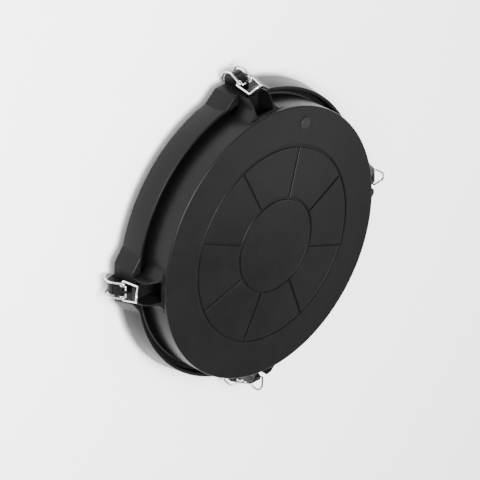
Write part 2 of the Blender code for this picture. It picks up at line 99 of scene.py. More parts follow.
class HatchSizes(bpy.types.PropertyGroup):
    """Sizes of the hatch that change its looks."""

    rim_radius: bpy.props.FloatProperty(
        name="Rim radius", description="Radius of the cover's rim", default=0.25, unit="LENGTH")
    rim_height: bpy.props.FloatProperty(
        name="Rim height", description="Height of the rim above the neck's lower edge",
        default=0.1133, unit="LENGTH")
    crown_rise: bpy.props.FloatProperty(
        name="Crown rise", description="How far the middle of the face stands above the rim",
        default=0.0175, unit="LENGTH")
    rim_rounding: bpy.props.FloatProperty(
        name="Rim rounding", description="Radius of the rounded rim", default=0.003,
        unit="LENGTH")
    small_circle: bpy.props.FloatProperty(
        name="Small groove circle", description="Radius of the inner round groove",
        default=0.0861, unit="LENGTH")
    large_circle: bpy.props.FloatProperty(
        name="Large groove circle", description="Radius of the outer round groove",
        default=0.1786, unit="LENGTH")
    groove_width: bpy.props.FloatProperty(
        name="Groove width", description="Width of a groove at the face", default=0.0042,
        unit="LENGTH")
    groove_depth: bpy.props.FloatProperty(
        name="Groove depth", description="Depth of a groove", default=0.0024, unit="LENGTH")
    wire_radius: bpy.props.FloatProperty(
        name="Wire radius", description="Radius of the latch wire", default=0.0017,
        unit="LENGTH")
    edge_rounding: bpy.props.FloatProperty(
        name="Edge rounding", description="Rounding of the moulded lugs' edges",
        default=0.0009, unit="LENGTH")
    segments: bpy.props.IntProperty(
        name="Segments", description="Facets round the hatch", default=240, min=48)


class HatchColours(bpy.types.PropertyGroup):
    """Colours of the hatch's finishes and its surroundings."""

    moulding: bpy.props.FloatVectorProperty(
        name="Moulding", description="Black plastic of the cover and the ring",
        subtype="COLOR", size=4, default=(0.0027, 0.00275, 0.00275, 1.0))
    block: bpy.props.FloatVectorProperty(
        name="Pivot block", description="Black plastic of the latch blocks",
        subtype="COLOR", size=4, default=(0.0022, 0.0022, 0.0023, 1.0))
    rubber: bpy.props.FloatVectorProperty(
        name="Rubber", description="Seal rubber", subtype="COLOR", size=4,
        default=(0.0022, 0.0022, 0.0022, 1.0))
    plug: bpy.props.FloatVectorProperty(
        name="Plug", description="Grey plastic of the vent plug", subtype="COLOR", size=4,
        default=(0.0080, 0.0084, 0.0090, 1.0))
    steel: bpy.props.FloatVectorProperty(
        name="Steel", description="Stainless steel of the wires and screws",
        subtype="COLOR", size=4, default=(0.62, 0.62, 0.63, 1.0))
    floor: bpy.props.FloatVectorProperty(
        name="Floor", description="Pale floor under the hatch", subtype="COLOR", size=4,
        default=(0.9, 0.9, 0.9, 1.0))


# ------------------------------------------------------------------------------- modelling

def start_clean():
    """Object mode with nothing selected."""
    if bpy.context.mode != "OBJECT":
        bpy.ops.object.mode_set(mode="OBJECT")
    bpy.ops.object.select_all(action="DESELECT")


def pick(piece):
    """Makes a piece the only one selected."""
    start_clean()
    piece.select_set(True)
    bpy.context.view_layer.objects.active = piece


def radial(r, t, z):
    """A point of the latch on +X, from millimetres."""
    return Vector((r, t, z)) * MM


def arc(centre, radius, start, end, steps):
    """Points on an arc in the plane, angles in degrees."""
    angles = [math.radians(start + (end - start) * i / steps) for i in range(steps + 1)]
    return [(centre[0] + radius * math.cos(a), centre[1] + radius * math.sin(a))
            for a in angles]


def rounded(corners, steps=6):
    """A route through corners, each a point with a bend radius, with an arc at every bend."""
    points = [Vector(corners[0][0])]
    for (before, _), (corner, bend), (after, _) in zip(corners, corners[1:], corners[2:]):
        corner = Vector(corner)
        if not bend:
            points.append(corner)
            continue
        back = (Vector(before) - corner).normalized()
        ahead = (Vector(after) - corner).normalized()
        half = back.angle(ahead) / 2
        centre = corner + (back + ahead).normalized() * (bend / math.sin(half))
        first = corner + back * (bend / math.tan(half)) - centre
        last = corner + ahead * (bend / math.tan(half)) - centre
        sweep = first.angle(last)
        for i in range(steps + 1):
            share = i / steps
            spoke = first * math.sin((1 - share) * sweep) + last * math.sin(share * sweep)
            points.append(centre + spoke / math.sin(sweep))
    points.append(Vector(corners[-1][0]))
    return points


def rounded_outline(corners, steps=6):
    """A closed outline in the plane with an arc at every corner that has a bend radius."""
    looped = [(Vector((*point, 0.0)), bend) for point, bend in corners]
    first, last = looped[0], looped[-1]
    middle = (first[0] + last[0]) / 2
    route = rounded([(middle, 0.0), *looped, (middle, 0.0)], steps)
    return [(p.x, p.y) for p in route[:-1]]


def face_of(name, points):
    """A flat face through the points, from a circle moved onto them."""
    start_clean()
    bpy.ops.mesh.primitive_circle_add(vertices=len(points), fill_type="NGON", radius=0.1)
    piece = bpy.context.object
    piece.name = name
    for vertex, point in zip(piece.data.vertices, points):
        vertex.co = point
    return piece


def extruded(name, low, high):
    """A solid between two outlines with equal counts of points."""
    piece = face_of(name, low)
    count = len(low)
    bpy.ops.object.mode_set(mode="EDIT")
    bpy.ops.mesh.select_all(action="SELECT")
    bpy.ops.mesh.extrude_region_move(TRANSFORM_OT_translate={"value": high[0] - low[0]})
    bpy.ops.object.mode_set(mode="OBJECT")
    for vertex, point in zip(list(piece.data.vertices)[count:], high):
        vertex.co = point
    face_out(piece)
    return piece


def side_prism(name, outline, half_width):
    """A solid from an (r, z) outline, as wide as it is told along t."""
    low = [radial(r, -half_width, z) for r, z in outline]
    high = [radial(r, half_width, z) for r, z in outline]
    return extruded(name, low, high)


def face_out(piece):
    """Turns every face outwards."""
    pick(piece)
    bpy.ops.object.mode_set(mode="EDIT")
    bpy.ops.mesh.select_all(action="SELECT")
    bpy.ops.mesh.remove_doubles(threshold=1e-6)
    bpy.ops.mesh.normals_make_consistent(inside=False)
    bpy.ops.object.mode_set(mode="OBJECT")


def spun(name, profile, segments, centre=(0.0, 0.0)):
    """A closed (radius, height) profile in millimetres, spun round a vertical line."""
    start_clean()
    bpy.ops.mesh.primitive_circle_add(vertices=len(profile), fill_type="NOTHING", radius=0.1)
    piece = bpy.context.object
    piece.name = name
    for vertex, (r, z) in zip(piece.data.vertices, profile):
        vertex.co = (r * MM, 0.0, z * MM)
    bpy.ops.object.mode_set(mode="EDIT")
    bpy.ops.mesh.select_all(action="SELECT")
    bpy.ops.mesh.spin(steps=segments, angle=2 * math.pi, use_auto_merge=True,
                      center=(0, 0, 0), axis=(0, 0, 1))
    bpy.ops.mesh.select_all(action="SELECT")
    bpy.ops.mesh.remove_doubles(threshold=1e-6)
    bpy.ops.mesh.delete_loose(use_verts=True, use_edges=True, use_faces=False)
    bpy.ops.object.mode_set(mode="OBJECT")
    face_out(piece)
    place(piece, Matrix.Translation((centre[0] * MM, centre[1] * MM, 0.0)))
    return piece


def place(piece, matrix):
    """Moves a piece and puts the move in its mesh."""
    piece.matrix_world = matrix @ piece.matrix_world
    pick(piece)
    bpy.ops.object.transform_apply(location=True, rotation=True, scale=True)


def combine(piece, tool, operation):
    """Adds a tool to a piece or cuts it away, and removes the tool."""
    pick(piece)
    bpy.ops.object.modifier_add(type="BOOLEAN")
    modifier = piece.modifiers[-1]
    modifier.operation = operation
    modifier.solver = "EXACT"
    modifier.object = tool
    bpy.ops.object.modifier_apply(modifier=modifier.name)
    bpy.data.objects.remove(tool, do_unlink=True)
    if not piece.data.polygons:
        raise RuntimeError(f"nothing is left of {piece.name}")


def round_edges(piece, width, angle=32.0, segments=3):
    """Rounds every edge sharper than the angle."""
    pick(piece)
    bpy.ops.object.modifier_add(type="BEVEL")
    modifier = piece.modifiers[-1]
    modifier.width = width
    modifier.segments = segments
    modifier.limit_method = "ANGLE"
    modifier.angle_limit = math.radians(angle)
    modifier.miter_outer = "MITER_ARC"
    bpy.ops.object.modifier_apply(modifier=modifier.name)


def smooth(piece, angle=32.0):
    """Shades a piece smooth, with a crease at every edge sharper than the angle."""
    pick(piece)
    bpy.ops.object.shade_smooth_by_angle(angle=math.radians(angle))


def remove_all(*pieces):
    """Removes pieces that have been copied into place."""
    for piece in pieces:
        bpy.data.objects.remove(piece, do_unlink=True)


def turned_copies(piece, angles):
    """Copies of a piece at each angle round the hatch's axis; the piece itself goes."""
    copies = [copy_of(piece, f"{piece.name} copy", angle) for angle in angles]
    remove_all(piece)
    return copies


def copy_of(piece, name, angle):
    """A copy of a piece, turned round the hatch's axis."""
    pick(piece)
    bpy.ops.object.duplicate()
    copy = bpy.context.object
    copy.name = name
    place(copy, Matrix.Rotation(math.radians(angle), 4, "Z"))
    return copy


def bent_wire(name, route, radius):
    """A round wire along a route of points in millimetres."""
    start_clean()
    bpy.ops.curve.primitive_nurbs_path_add(radius=0.01)
    piece = bpy.context.object
    piece.name = name
    curve = piece.data
    curve.splines.clear()
    line = curve.splines.new("POLY")
    line.points.add(len(route) - 1)
    for point, spot in zip(line.points, route):
        point.co = (*(spot * MM), 1.0)
    curve.dimensions = "3D"
    curve.twist_mode = "MINIMUM"
    curve.bevel_depth = radius
    curve.bevel_resolution = 6
    curve.use_fill_caps = True
    bpy.ops.object.convert(target="MESH")
    piece = bpy.context.object
    face_out(piece)
    smooth(piece, 50.0)
    return piece


def finish_piece(piece, node, body, material):
    """Gives a piece its finish and its body, and hides the CAD node it stands for."""
    piece.data.materials.clear()
    piece.data.materials.append(material)
    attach(piece, body)
    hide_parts(node)


# ------------------------------------------------------------------------------- finishes

def new_group(name, inputs, outputs):
    """A shader node group with named inputs and outputs."""
    group = bpy.data.node_groups.new(name, "ShaderNodeTree")
    for label, default in inputs:
        socket = group.interface.new_socket(name=label, in_out="INPUT",
                                            socket_type="NodeSocketFloat")
        socket.default_value = default
    for label in outputs:
        group.interface.new_socket(name=label, in_out="OUTPUT", socket_type="NodeSocketFloat")
    return group, group.nodes.new("NodeGroupInput"), group.nodes.new("NodeGroupOutput")


def noise(nodes, links, position, scale, detail=4.0, rough=0.55):
    """Noise over a position, its scale a number or a socket."""
    texture = nodes.new("ShaderNodeTexNoise")
    texture.inputs["Detail"].default_value = detail
    texture.inputs["Roughness"].default_value = rough
    if isinstance(scale, (int, float)):
        texture.inputs["Scale"].default_value = scale
    else:
        links.new(scale, texture.inputs["Scale"])
    links.new(position, texture.inputs["Vector"])
    return texture.outputs["Fac"]


def arithmetic(nodes, links, operation, first, second=None, third=None):
    """One sum on numbers or sockets."""
    step = nodes.new("ShaderNodeMath")
    step.operation = operation
    for socket, value in zip(step.inputs, (first, second, third)):
        if value is None:
            continue
        if isinstance(value, (int, float)):
            socket.default_value = value
        else:
            links.new(value, socket)
    return step.outputs[0]


def remap(nodes, links, value, low, high, to_low, to_high):
    """Maps low..high to to_low..to_high and holds the ends."""
    step = nodes.new("ShaderNodeMapRange")
    links.new(value, step.inputs["Value"])
    for label, number in (("From Min", low), ("From Max", high), ("To Min", to_low),
                          ("To Max", to_high)):
        step.inputs[label].default_value = number
    return step.outputs["Result"]


def moulded_grain_group():
    """Fine spark-eroded grain, slow flow tone and faint scuffs of a moulded plastic."""
    existing = bpy.data.node_groups.get("Moulded grain")
    if existing:
        return existing
    group, inputs, outputs = new_group(
        "Moulded grain",
        (("Grain Scale", 900.0), ("Flow Scale", 9.0), ("Scuffs", 0.5)),
        ("Height", "Tone", "Scuff"))
    nodes, links = group.nodes, group.links
    place_node = nodes.new("ShaderNodeTexCoord")
    position = place_node.outputs["Object"]
    grain = noise(nodes, links, position, inputs.outputs["Grain Scale"], 3.0, 0.6)
    coarse_scale = arithmetic(nodes, links, "MULTIPLY", inputs.outputs["Grain Scale"], 0.22)
    coarse = noise(nodes, links, position, coarse_scale, 2.0)
    height = arithmetic(nodes, links, "MULTIPLY_ADD", coarse, 0.6, grain)
    flow = noise(nodes, links, position, inputs.outputs["Flow Scale"], 5.0, 0.6)
    tone = remap(nodes, links, flow, 0.3, 0.7, 0.0, 1.0)

    stretch = nodes.new("ShaderNodeMapping")
    stretch.inputs["Rotation"].default_value = (0.0, 0.0, 0.6)
    stretch.inputs["Scale"].default_value = (14.0, 320.0, 60.0)
    links.new(position, stretch.inputs["Vector"])
    lines = noise(nodes, links, stretch.outputs["Vector"], 1.0, 2.0)
    fine_lines = remap(nodes, links, lines, 0.66, 0.72, 0.0, 1.0)
    patches = remap(nodes, links, noise(nodes, links, position, 22.0, 3.0),
                    0.52, 0.7, 0.0, 1.0)
    scuff = arithmetic(nodes, links, "MULTIPLY", fine_lines, patches)
    scuff = arithmetic(nodes, links, "MULTIPLY", scuff, inputs.outputs["Scuffs"])
    for label, value in (("Height", height), ("Tone", tone), ("Scuff", scuff)):
        links.new(value, outputs.inputs[label])
    return group


def settled_dust_group():
    """Thin dust that lies on upward faces, thicker in broken patches."""
    existing = bpy.data.node_groups.get("Settled dust")
    if existing:
        return existing
    group, inputs, outputs = new_group("Settled dust", (("Amount", 0.3),), ("Dust",))
    nodes, links = group.nodes, group.links
    shape = nodes.new("ShaderNodeNewGeometry")
    parts = nodes.new("ShaderNodeSeparateXYZ")
    links.new(shape.outputs["Normal"], parts.inputs["Vector"])
    upward = remap(nodes, links, parts.outputs["Z"], 0.55, 1.0, 0.0, 1.0)
    place_node = nodes.new("ShaderNodeTexCoord")
    patches = remap(nodes, links, noise(nodes, links, place_node.outputs["Object"], 34.0, 7.0,
                                        0.65), 0.42, 0.75, 0.0, 1.0)
    dust = arithmetic(nodes, links, "MULTIPLY", upward, patches)
    dust = arithmetic(nodes, links, "MULTIPLY", dust, inputs.outputs["Amount"])
    links.new(dust, outputs.inputs["Dust"])
    return group


def drawn_wire_group():
    """Fine draw lines and faint handling marks of bright wire."""
    existing = bpy.data.node_groups.get("Drawn wire")
    if existing:
        return existing
    group, inputs, outputs = new_group("Drawn wire", (("Line Scale", 1600.0),),
                                       ("Height", "Tone"))
    nodes, links = group.nodes, group.links
    position = nodes.new("ShaderNodeTexCoord").outputs["Object"]
    fine = noise(nodes, links, position, inputs.outputs["Line Scale"], 2.0)
    cloud = noise(nodes, links, position, 90.0, 4.0)
    links.new(fine, outputs.inputs["Height"])
    links.new(remap(nodes, links, cloud, 0.3, 0.7, 0.0, 1.0), outputs.inputs["Tone"])
    return group


def new_material(name):
    """A material with its nodes, its links and its shader."""
    material = bpy.data.materials.new(name)
    material.use_nodes = True
    tree = material.node_tree
    return material, tree.nodes, tree.links, tree.nodes["Principled BSDF"]


def use_group(nodes, group, **values):
    """Places a group with its own values, an underscore standing for a space in a name."""
    node = nodes.new("ShaderNodeGroup")
    node.node_tree = group
    for label, value in values.items():
        node.inputs[label.replace("_", " ")].default_value = value
    return node


def blend_colour(nodes, links, factor, first, second):
    """Blends two colours, each four numbers or a socket."""
    mix = nodes.new("ShaderNodeMix")
    mix.data_type = "RGBA"
    links.new(factor, mix.inputs["Factor"])
    for socket, value in ((mix.inputs[6], first), (mix.inputs[7], second)):
        if isinstance(value, tuple):
            socket.default_value = value
        else:
            links.new(value, socket)
    return mix.outputs[2]


def lighter(colour, gain):
    """A colour times a gain, held at white."""
    return tuple(min(1.0, c * gain) for c in colour[:3]) + (1.0,)


def rough_up(nodes, links, shader, height, strength, distance):
    """Bumps a shader's surface."""
    bump = nodes.new("ShaderNodeBump")
    bump.inputs["Strength"].default_value = strength
    bump.inputs["Distance"].default_value = distance
    links.new(height, bump.inputs["Height"])
    links.new(bump.outputs["Normal"], shader.inputs["Normal"])


def moulded_plastic(name, colour, gloss_low, gloss_high, grain, depth, scuffs, dust):
    """Satin moulded plastic with grain, flow tone, scuffs and settled dust."""
    existing = bpy.data.materials.get(name)
    if existing:
        return existing
    material, nodes, links, shader = new_material(name)
    surface = use_group(nodes, moulded_grain_group(), Grain_Scale=grain, Scuffs=scuffs)
    powder = use_group(nodes, settled_dust_group(), Amount=dust)
    body = blend_colour(nodes, links, surface.outputs["Tone"], lighter(colour, 0.88),
                        lighter(colour, 1.12))
    worn = blend_colour(nodes, links, surface.outputs["Scuff"], body, lighter(colour, 2.6))
    dusty = blend_colour(nodes, links, powder.outputs["Dust"], worn,
                         (0.03, 0.0295, 0.0285, 1.0))
    links.new(dusty, shader.inputs["Base Color"])
    gloss = remap(nodes, links, surface.outputs["Tone"], 0.0, 1.0, gloss_low, gloss_high)
    rough = arithmetic(nodes, links, "MULTIPLY_ADD", powder.outputs["Dust"], 0.5, gloss)
    links.new(rough, shader.inputs["Roughness"])
    shader.inputs["Specular IOR Level"].default_value = 0.1
    rough_up(nodes, links, shader, surface.outputs["Height"], depth, 0.0002)
    return material


def rubber_finish(colour):
    """Dull black rubber with a fine skin."""
    existing = bpy.data.materials.get("seal rubber")
    if existing:
        return existing
    material, nodes, links, shader = new_material("seal rubber")
    surface = use_group(nodes, moulded_grain_group(), Grain_Scale=1400.0, Scuffs=0.1)
    links.new(blend_colour(nodes, links, surface.outputs["Tone"], lighter(colour, 0.8),
                           lighter(colour, 1.4)), shader.inputs["Base Color"])
    links.new(remap(nodes, links, surface.outputs["Tone"], 0.0, 1.0, 0.62, 0.8),
              shader.inputs["Roughness"])
    rough_up(nodes, links, shader, surface.outputs["Height"], 0.3, 0.0002)
    return material


def steel_finish(name, colour, gloss_low, gloss_high):
    """Bare stainless steel with fine draw lines."""
    existing = bpy.data.materials.get(name)
    if existing:
        return existing
    material, nodes, links, shader = new_material(name)
    surface = use_group(nodes, drawn_wire_group())
    links.new(blend_colour(nodes, links, surface.outputs["Tone"], lighter(colour, 0.86),
                           lighter(colour, 1.05)), shader.inputs["Base Color"])
    links.new(remap(nodes, links, surface.outputs["Tone"], 0.0, 1.0, gloss_low, gloss_high),
              shader.inputs["Roughness"])
    shader.inputs["Metallic"].default_value = 1.0
    rough_up(nodes, links, shader, surface.outputs["Height"], 0.06, 0.0001)
    return material


def black_moulding(colours):
    """Finish of the cover and the ring."""
    return moulded_plastic("black moulding", tuple(colours.moulding), 0.34, 0.44, 1100.0,
                           0.12, 0.35, 0.03)


def block_moulding(colours):
    """Finish of the pivot blocks, with finer grain than the cover."""
    return moulded_plastic("pivot block moulding", tuple(colours.block), 0.32, 0.42, 1500.0,
                           0.10, 0.5, 0.02)


def plug_plastic(colours):
    """Finish of the vent plug."""
    return moulded_plastic("grey plug plastic", tuple(colours.plug), 0.36, 0.46, 1800.0,
                           0.08, 0.3, 0.02)


# ------------------------------------------------------------------------------- cover

def crown_height(sizes, radius):
    """Height of the face in millimetres at a radius in millimetres."""
    share = (radius * MM / sizes.rim_radius) ** 2
    rise = sizes.crown_rise * (1 - share) * (1 - 0.6 * share)
    return (sizes.rim_height + rise) / MM


def face_groove(sizes, radius):
    """Face points across a round groove with softened lips, from the inside out."""
    half = sizes.groove_width / MM / 2
    depth = sizes.groove_depth / MM
    steps = ((-1.3, 0.0), (-1.05, 0.08), (-0.92, 0.3), (-0.85, 0.85), (-0.6, 1.0),
             (0.6, 1.0), (0.85, 0.85), (0.92, 0.3), (1.05, 0.08), (1.3, 0.0))
    return [(radius + half * out, crown_height(sizes, radius + half * out) - depth * down)
            for out, down in steps]


def under_rib(sizes, radius, half=2.0, depth=10.0):
    """Underside points round a circular rib, from the outside in."""
    under = crown_height(sizes, radius) - WALL
    low = under - depth
    return [(radius + half + 1.0, under), (radius + half, under - 1.0),
            (radius + half - 0.3, low + 0.6), (radius + half - 0.9, low),
            (radius - half + 0.9, low), (radius - half + 0.3, low + 0.6),
            (radius - half, under - 1.0), (radius - half - 1.0, under)]


def face_points(sizes, start, end, count):
    """Evenly spaced points on the face between two radii."""
    radii = [start + (end - start) * i / count for i in range(count + 1)]
    return [(radius, crown_height(sizes, radius)) for radius in radii]


def under_point(sizes, radius):
    """A point on the underside of the cover's wall."""
    return (radius, crown_height(sizes, radius) - WALL)


def cover_profile(sizes):
    """Section of the cover: face, rim, skirt's foot and underside."""
    small = sizes.small_circle / MM
    large = sizes.large_circle / MM
    rim = sizes.rim_radius / MM
    edge = sizes.rim_rounding / MM
    top = face_points(sizes, 0.0, small - 6.0, 6) + face_groove(sizes, small)
    top += face_points(sizes, small + 6.0, large - 6.0, 5) + face_groove(sizes, large)
    top += face_points(sizes, large + 6.0, rim - edge - 6.0, 5)
    turn = arc((rim - edge, crown_height(sizes, rim - edge) - edge), edge, 90, 0, 8)
    foot = [(248.6, 49.0), (248.3, 48.3), (247.6, 48.0), (244.6, 48.0), (243.9, 48.3),
            (243.6, 49.0)]
    inside = arc((239.0, 102.3), 6.0, 0, 90, 5)
    under = [under_point(sizes, 215.0)] + under_rib(sizes, large)
    under += [under_point(sizes, 132.0)] + under_rib(sizes, small)
    under += [under_point(sizes, 45.0), under_point(sizes, 0.0)]
    return top + turn + foot + inside + under


def cover_lug(sizes):
    """One lug before its pocket is cut: hollow side fillets in plan, sloping top in profile."""
    flank = LUG_HALF_WIDTH + LUG_FILLET
    hollow = arc((flank, LUG_ROOT + 3.0 + LUG_FILLET), LUG_FILLET, 270, 181, 14)
    right = hollow + [(LUG_HALF_WIDTH - 0.4, LUG_RADIUS + 4.0)]
    left = [(-t, r) for t, r in reversed(right)]
    plan = [(-flank, LUG_ROOT), (flank, LUG_ROOT)] + right + left
    low = [radial(r, t, LUG_UNDERSIDE) for t, r in plan]
    high = [radial(r, t, 113.0) for t, r in plan]
    lug = extruded("cover lug", low, high)
    trim = rounded_outline([((LUG_ROOT - 2.0, LUG_UNDERSIDE - 2.0), 0.0),
                            ((LUG_RADIUS - 1.0, LUG_UNDERSIDE - 2.0), 0.0),
                            ((LUG_RADIUS, 86.6), 5.0), ((271.5, 95.2), 12.0),
                            ((260.0, 101.0), 20.0), ((249.0, 105.2), 0.0),
                            ((LUG_ROOT - 2.0, 106.5), 0.0)], 6)
    combine(lug, side_prism("lug profile", trim, flank + 5.0), "INTERSECT")
    face_out(lug)
    round_edges(lug, sizes.edge_rounding, 40.0, 2)
    return lug


def cover_catch():
    """The nose that the bail hooks over."""
    outline = rounded_outline([((266.0, 64.5), 0.0), ((281.0, 64.5), 0.0),
                               ((289.6, 71.0), 1.5), ((289.6, 80.2), 1.6),
                               ((282.6, 80.2), 1.5), ((278.0, 75.6), 4.0),
                               ((268.0, 66.9), 0.0)], 5)
    catch = side_prism("cover catch", outline, 12.5)
    round_edges(catch, 0.0011, 40.0, 3)
    return catch


def lug_pocket():
    """The cutter that hollows a lug, open outwards and upwards."""
    outline = rounded_outline([((POCKET_RADIUS, SHELF_TOP), 1.5), ((292.5, SHELF_TOP), 0.0),
                               ((292.5, 121.3), 0.0), ((257.0, 121.3), 0.0),
                               ((249.0, POCKET_TOP), 3.0), ((POCKET_RADIUS, POCKET_TOP), 2.0)],
                              4)
    return side_prism("lug pocket", outline, POCKET_HALF_WIDTH)


def lug_housing():
    """The block inside the skirt that walls the pocket in."""
    outline = [(POCKET_RADIUS - WALL, LUG_UNDERSIDE), (248.0, LUG_UNDERSIDE),
               (248.0, POCKET_TOP + WALL), (POCKET_RADIUS - WALL, POCKET_TOP + WALL)]
    return side_prism("housing", outline, LUG_HALF_WIDTH)


def radial_groove(sizes, angle):
    """A cutter for one straight groove between the two round ones."""
    half = sizes.groove_width / MM / 2
    depth = sizes.groove_depth / MM
    start = sizes.small_circle / MM + half * 0.7
    end = sizes.large_circle / MM - half * 0.7
    section = [(-1.25 * half, 1.0), (-1.25 * half, 0.0), (-0.95 * half, -0.2 * depth),
               (-0.85 * half, -0.95 * depth), (0.85 * half, -0.95 * depth),
               (0.95 * half, -0.2 * depth), (1.25 * half, 0.0), (1.25 * half, 1.0)]
    low = [radial(start, t, crown_height(sizes, start) + z) for t, z in section]
    high = [radial(end, t, crown_height(sizes, end) + z) for t, z in section]
    groove = extruded("radial groove", low, high)
    place(groove, Matrix.Rotation(math.radians(angle), 4, "Z"))
    return groove


def spoke_rib(sizes, angle):
    """One straight rib under the face."""
    start, end = sizes.small_circle / MM + 0.5, sizes.large_circle / MM - 0.5
    outline = [(start, crown_height(sizes, start) - 14.0),
               (end, crown_height(sizes, end) - 14.0), (end, crown_height(sizes, end) - 3.0),
               (132.0, crown_height(sizes, 132.0) - 3.0),
               (start, crown_height(sizes, start) - 3.0)]
    rib = side_prism("spoke rib", outline, 2.0)
    place(rib, Matrix.Rotation(math.radians(angle), 4, "Z"))
    return rib


def plug_place():
    """Where the vent plug's axis meets the floor plane, mm."""
    angle = math.radians(PLUG_ANGLE)
    return (PLUG_RADIUS * math.cos(angle), PLUG_RADIUS * math.sin(angle))


def plug_seat(sizes):
    """Height of the ledge that the vent plug's washer lies on, mm."""
    return crown_height(sizes, PLUG_RADIUS) - 2.0


class HATCH_OT_cover(bpy.types.Operator):
    """Models the domed cover with its grooves, lugs, pockets and catches"""

    bl_idname = "hatch.cover"
    bl_label = "Cover"

    def execute(self, context):
        sizes = context.scene.hatch_sizes
        cover = spun("hatch_cover", cover_profile(sizes), sizes.segments)
        steps = ((cover_lug(sizes), "UNION"), (lug_housing(), "UNION"),
                 (lug_pocket(), "DIFFERENCE"), (cover_catch(), "UNION"))
        for latch in LATCHES:
            for tool, operation in steps:
                angle = 90.0 * (latch - 1)
                combine(cover, copy_of(tool, f"{tool.name} copy", angle), operation)
        remove_all(*(tool for tool, _ in steps))
        for k in range(8):
            angle = 22.5 + 45.0 * k
            combine(cover, radial_groove(sizes, angle), "DIFFERENCE")
            combine(cover, spoke_rib(sizes, angle), "UNION")
        seat = plug_seat(sizes)
        hole = spun("plug hole", [(0.0, 92.0), (7.3, 92.0), (7.3, seat), (12.1, seat),
                                  (12.1, seat + 1.4), (12.5, seat + 8.0), (0.0, seat + 8.0)],
                    48, plug_place())
        combine(cover, hole, "DIFFERENCE")
        smooth(cover, 30.0)
        finish_piece(cover, "cover", "cover",
                     black_moulding(context.scene.hatch_colours))
        return {"FINISHED"}


# ------------------------------------------------------------------------------- neck ring

def ring_profile():
    """Neck, flange, seal stop and upstand, with rounded edges."""
    top = arc((264.4, 59.4), 1.6, 0, 90, 6)
    lip = arc((261.2, 59.8), 1.2, 90, 180, 3)
    return ([(200.6, 0.0), (208.4, 0.0), (209.0, 0.6), (209.0, 30.0)]
            + [(r, z) for r, z in arc((213.0, 30.0), 4.0, 180, 90, 4)][1:]
            + [(258.0, 34.0), (260.2, 33.2), (260.4, 31.0), (261.0, 21.0), (262.0, 20.0),
               (267.5, 20.0), (269.2, 20.6), (269.9, 22.4), (266.6, 52.0)]
            + top + lip
            + [(260.0, 44.0), (259.4, 42.6), (258.0, CHANNEL_FLOOR), (237.0, CHANNEL_FLOOR),
               (236.0, 43.0), (236.0, 53.0), (235.2, 54.0), (230.8, 54.0), (230.0, 53.0),
               (230.0, 43.0), (229.0, CHANNEL_FLOOR), (200.8, CHANNEL_FLOOR), (200.0, 41.2),
               (200.0, 0.6)])


def lug_plan(reach, half, root, ring_radius, height):
    """Plan of a ring lug: it leaves the ring's side, slopes out and turns into a flat front."""
    far = root + 30.0
    corners = [((far, math.sqrt((ring_radius - 1.5) ** 2 - far ** 2), 0.0), 0.0),
               ((root, math.sqrt((ring_radius - 0.8) ** 2 - root ** 2), 0.0), 26.0),
               ((half, reach, 0.0), 9.0), ((0.0, reach, 0.0), 0.0)]
    curve = rounded(corners, 8)
    points = [(p.x, p.y) for p in curve] + [(-p.x, p.y) for p in curve[-2::-1]]
    points += [(-half, 238.0), (half, 238.0)]
    return [radial(r, t, height) for t, r in points]


def cut_screw_holes(piece, low, high):
    """Cuts the two screw holes of one latch between two heights."""
    reach, offset = SCREW_PLACE
    for sign in (-1, 1):
        combine(piece, rod("hole", radial(reach, sign * offset, low),
                           radial(reach, sign * offset, high), SCREW_HOLE_RADIUS * MM, 24),
                "DIFFERENCE")


def ring_lug():
    """One lug of the ring with rounded edges and the two screw holes in its underside."""
    lug = extruded("ring lug", lug_plan(283.4, 38.0, 66.0, 269.5, RING_UNDERSIDE),
                   lug_plan(278.4, 30.0, 54.0, 266.0, RING_TOP))
    round_edges(lug, 0.0022, 60.0, 4)
    hollow = spun("hollow", [(150.0, 0.0), (263.0, 0.0), (263.0, 71.0), (150.0, 71.0)], 240)
    combine(lug, hollow, "DIFFERENCE")
    cut_screw_holes(lug, 15.0, 34.0)
    return lug


class HATCH_OT_neck_ring(bpy.types.Operator):
    """Models the neck ring with its seal channel and its four latch lugs"""

    bl_idname = "hatch.neck_ring"
    bl_label = "Neck ring"

    def execute(self, context):
        sizes = context.scene.hatch_sizes
        ring = spun("hatch_neck_ring", ring_profile(), sizes.segments)
        for lug in turned_copies(ring_lug(), (90.0 * (latch - 1) for latch in LATCHES)):
            combine(ring, lug, "UNION")
        stiffener = side_prism("stiffener", [(208.0, 6.0), (213.0, 6.0), (262.0, 22.0),
                                             (262.0, 36.0), (208.0, 36.0)], 2.5)
        for copy in turned_copies(stiffener, (15.0 + 30.0 * k for k in range(12))):
            combine(ring, copy, "UNION")
        smooth(ring, 30.0)
        finish_piece(ring, "neck_ring", "neck",
                     black_moulding(context.scene.hatch_colours))
        return {"FINISHED"}


